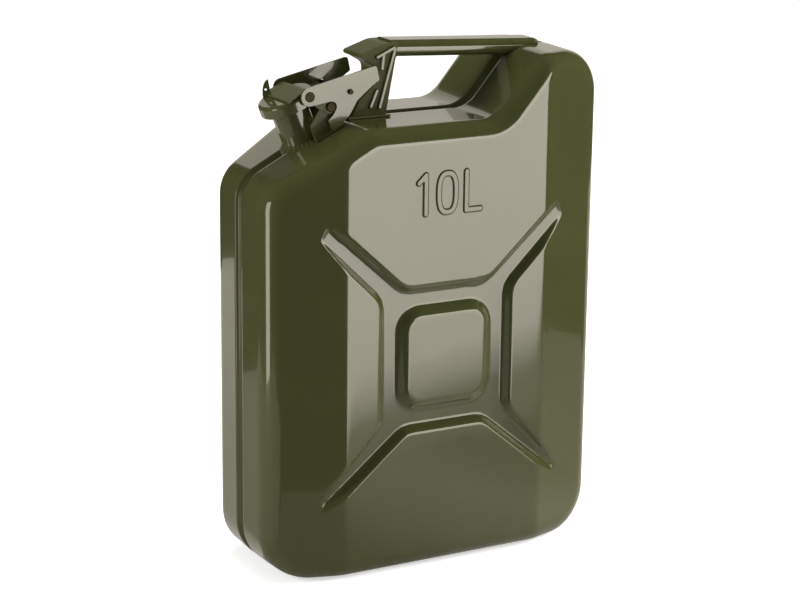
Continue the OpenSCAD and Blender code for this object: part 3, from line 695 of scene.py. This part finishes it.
# The neck, the handle, the cap with its lug and the lever are cut, rolled and folded from thicker
# sheet and painted. Their shape is the solid's own, and their edges are rounded by tumbling and
# by the paint.
EDGE_ROUNDING = 0.4 * MM
FLAT_ANGLE, EDGE_ANGLE = radians(0.5), radians(32)


def softened(node, body, finish):
    """The node's own solid, with doubled points merged, flat facets joined and edges rounded."""
    shape = bmesh.new()
    shape.from_mesh(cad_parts[node].data)
    bmesh.ops.remove_doubles(shape, verts=shape.verts, dist=SAME_POINT)
    bmesh.ops.dissolve_limit(shape, angle_limit=FLAT_ANGLE, verts=shape.verts, edges=shape.edges)
    mesh = bpy.data.meshes.new("finished_" + node)
    shape.to_mesh(mesh)
    shape.free()
    mesh.polygons.foreach_set("use_smooth", np.ones(len(mesh.polygons), bool))
    made = bpy.data.objects.new("finished_" + node, mesh)
    bpy.context.collection.objects.link(made)
    bevel = made.modifiers.new("rounded_edges", "BEVEL")
    bevel.width, bevel.segments = EDGE_ROUNDING, 2
    bevel.limit_method, bevel.angle_limit = "ANGLE", EDGE_ANGLE
    weighted = made.modifiers.new("flat_faces", "WEIGHTED_NORMAL")
    weighted.weight = 100
    mesh.materials.append(finish.material)
    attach(made, body)
    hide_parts(node)


PLATE_CLOUDS, PLATE_GRAIN, PLATE_GRAIN_DEPTH = (70.0,), (160.0, 2.0), 0.2 * MM
plate_paint = olive_paint(
    "olive_gloss_on_fittings", PLATE_CLOUDS, PLATE_GRAIN, PLATE_GRAIN_DEPTH,
    roughness=0.2, coat_weight=1.0, coat_roughness=0.04,
)
for node, body in (
    ("neck_tube", "can"), ("neck_lip", "can"), ("handle_bar", "can"), ("cap_shell", "cap"),
    ("seal_lug", "cap"), ("lever", "lever"),
):
    softened(node, body, plate_paint)


# The strut, its foot, the bracket and the bridge are folded from the same sheet. They hide behind
# other pieces when the can is sprayed, so their paint is thin and dull.
def thin_paint(name, coat_weight, shine):
    """The same olive paint, sprayed thin."""
    return olive_paint(
        name, PLATE_CLOUDS, PLATE_GRAIN, PLATE_GRAIN_DEPTH,
        roughness=0.3, coat_weight=coat_weight, coat_roughness=0.05, specular_ior_level=shine,
    )


strut_paint = thin_paint("olive_satin_on_strut", coat_weight=0.03, shine=0.07)
softened("handle_strut", "can", strut_paint)
hidden_paint = thin_paint("olive_satin_on_fittings", coat_weight=0.12, shine=0.16)
for node, body in (("strut_foot_plate", "can"), ("closure_bracket", "can"), ("cap_bridge", "cap")):
    softened(node, body, hidden_paint)

# The ribs are pressed out of the strut's cheeks and rubbed smooth, so their flat tops catch the
# soft box. Each is a straight bar with round ends, and a branch runs along the fold at the top.
STRUT_FOOT_X, STRUT_H = 18 * MM, 54 * MM
RIB_SHARES = [
    [(-0.235, 0.843), (-0.255, 0.657)],
    [(-0.06, 0.92), (-0.29, 0.13)],
    [(-0.335, 0.36), (-0.426, 0.15)],
]
BRANCH = [(-22.0 * MM, 391.4 * MM), (-35.7 * MM, 385.3 * MM)]
# Half width and distance from the seam's plane, in millimetres, from the cheek to the rib's top
RIB_SECTION = [
    (0, 13.9), (1.75, 13.9), (1.45, 14.9), (1.15, 15.35), (0.85, 15.48), (0.8, 15.48), (0, 15.48),
]
# Each rib stands a hair higher than the last, so no two tops lie in one plane where they cross
RIB_STEP = 0.02
END_POINTS = 9
rib_lines = [
    [(x * STRUT_H - STRUT_FOOT_X, DECK_H + z * STRUT_H) for x, z in ends] for ends in RIB_SHARES
] + [BRANCH]
half_turn = np.linspace(0, pi, END_POINTS)
for number, ((start_x, start_z), (end_x, end_z)) in enumerate(rib_lines, 1):
    slant = atan2(end_z - start_z, end_x - start_x)
    angle = np.concatenate((slant - pi / 2 + half_turn, slant + pi / 2 + half_turn))
    ends_x = np.repeat((end_x, start_x), END_POINTS)
    ends_z = np.repeat((end_z, start_z), END_POINTS)
    for side, word in ((-1, "near"), (1, "far")):
        rib = surface(f"strut_rib_{word}_{number}", np.array([
            np.stack((
                ends_x + half_w * MM * np.cos(angle),
                np.full(len(angle), side * (aside + RIB_STEP * number) * MM),
                ends_z + half_w * MM * np.sin(angle),
            ), 1)
            for half_w, aside in RIB_SECTION
        ]))
        closed_mesh(rib)
        rib.data.materials.append(plate_paint.material)
        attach(rib, "can")

# The pins, the rivets and the disc that holds the gasket are steel, zinc plated with a brown
# passivated skin that has gone dark and dull.
plated = Finish("plated_steel", base_color=(0.044, 0.038, 0.019, 1), metallic=0.9)
plated.feed("Roughness", plated.noise(400.0) * 0.2 + 0.4)
for node, body in (
    ("hinge_pin", "can"), ("lever_rivets", "lever"), ("safety_pin", "safety_pin"),
    ("gasket_retainer", "cap"), ("retainer_rivet", "cap"),
):
    softened(node, body, plated)

# Inside the can, a tinned tube lets air in past the pouring fuel. A saddle hangs it from the seam.
tinned = Finish("tinned_steel", base_color=(0.56, 0.56, 0.53, 1), metallic=1.0)
tinned.feed("Roughness", tinned.noise(150.0) * 0.25 + 0.2)
for node in ("breather_tube", "breather_clip"):
    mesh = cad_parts[node].data
    mesh.materials.clear()
    mesh.materials.append(tinned.material)

# The gasket is a ring punched from black rubber that resists fuel. It is pressed into the cap.
gasket_rubber = Finish("gasket_rubber", base_color=(0.018, 0.018, 0.017, 1), roughness=0.6)
gasket_rubber.bump(gasket_rubber.noise(700.0), 0.15 * MM)
softened("cap_gasket", "cap", gasket_rubber)
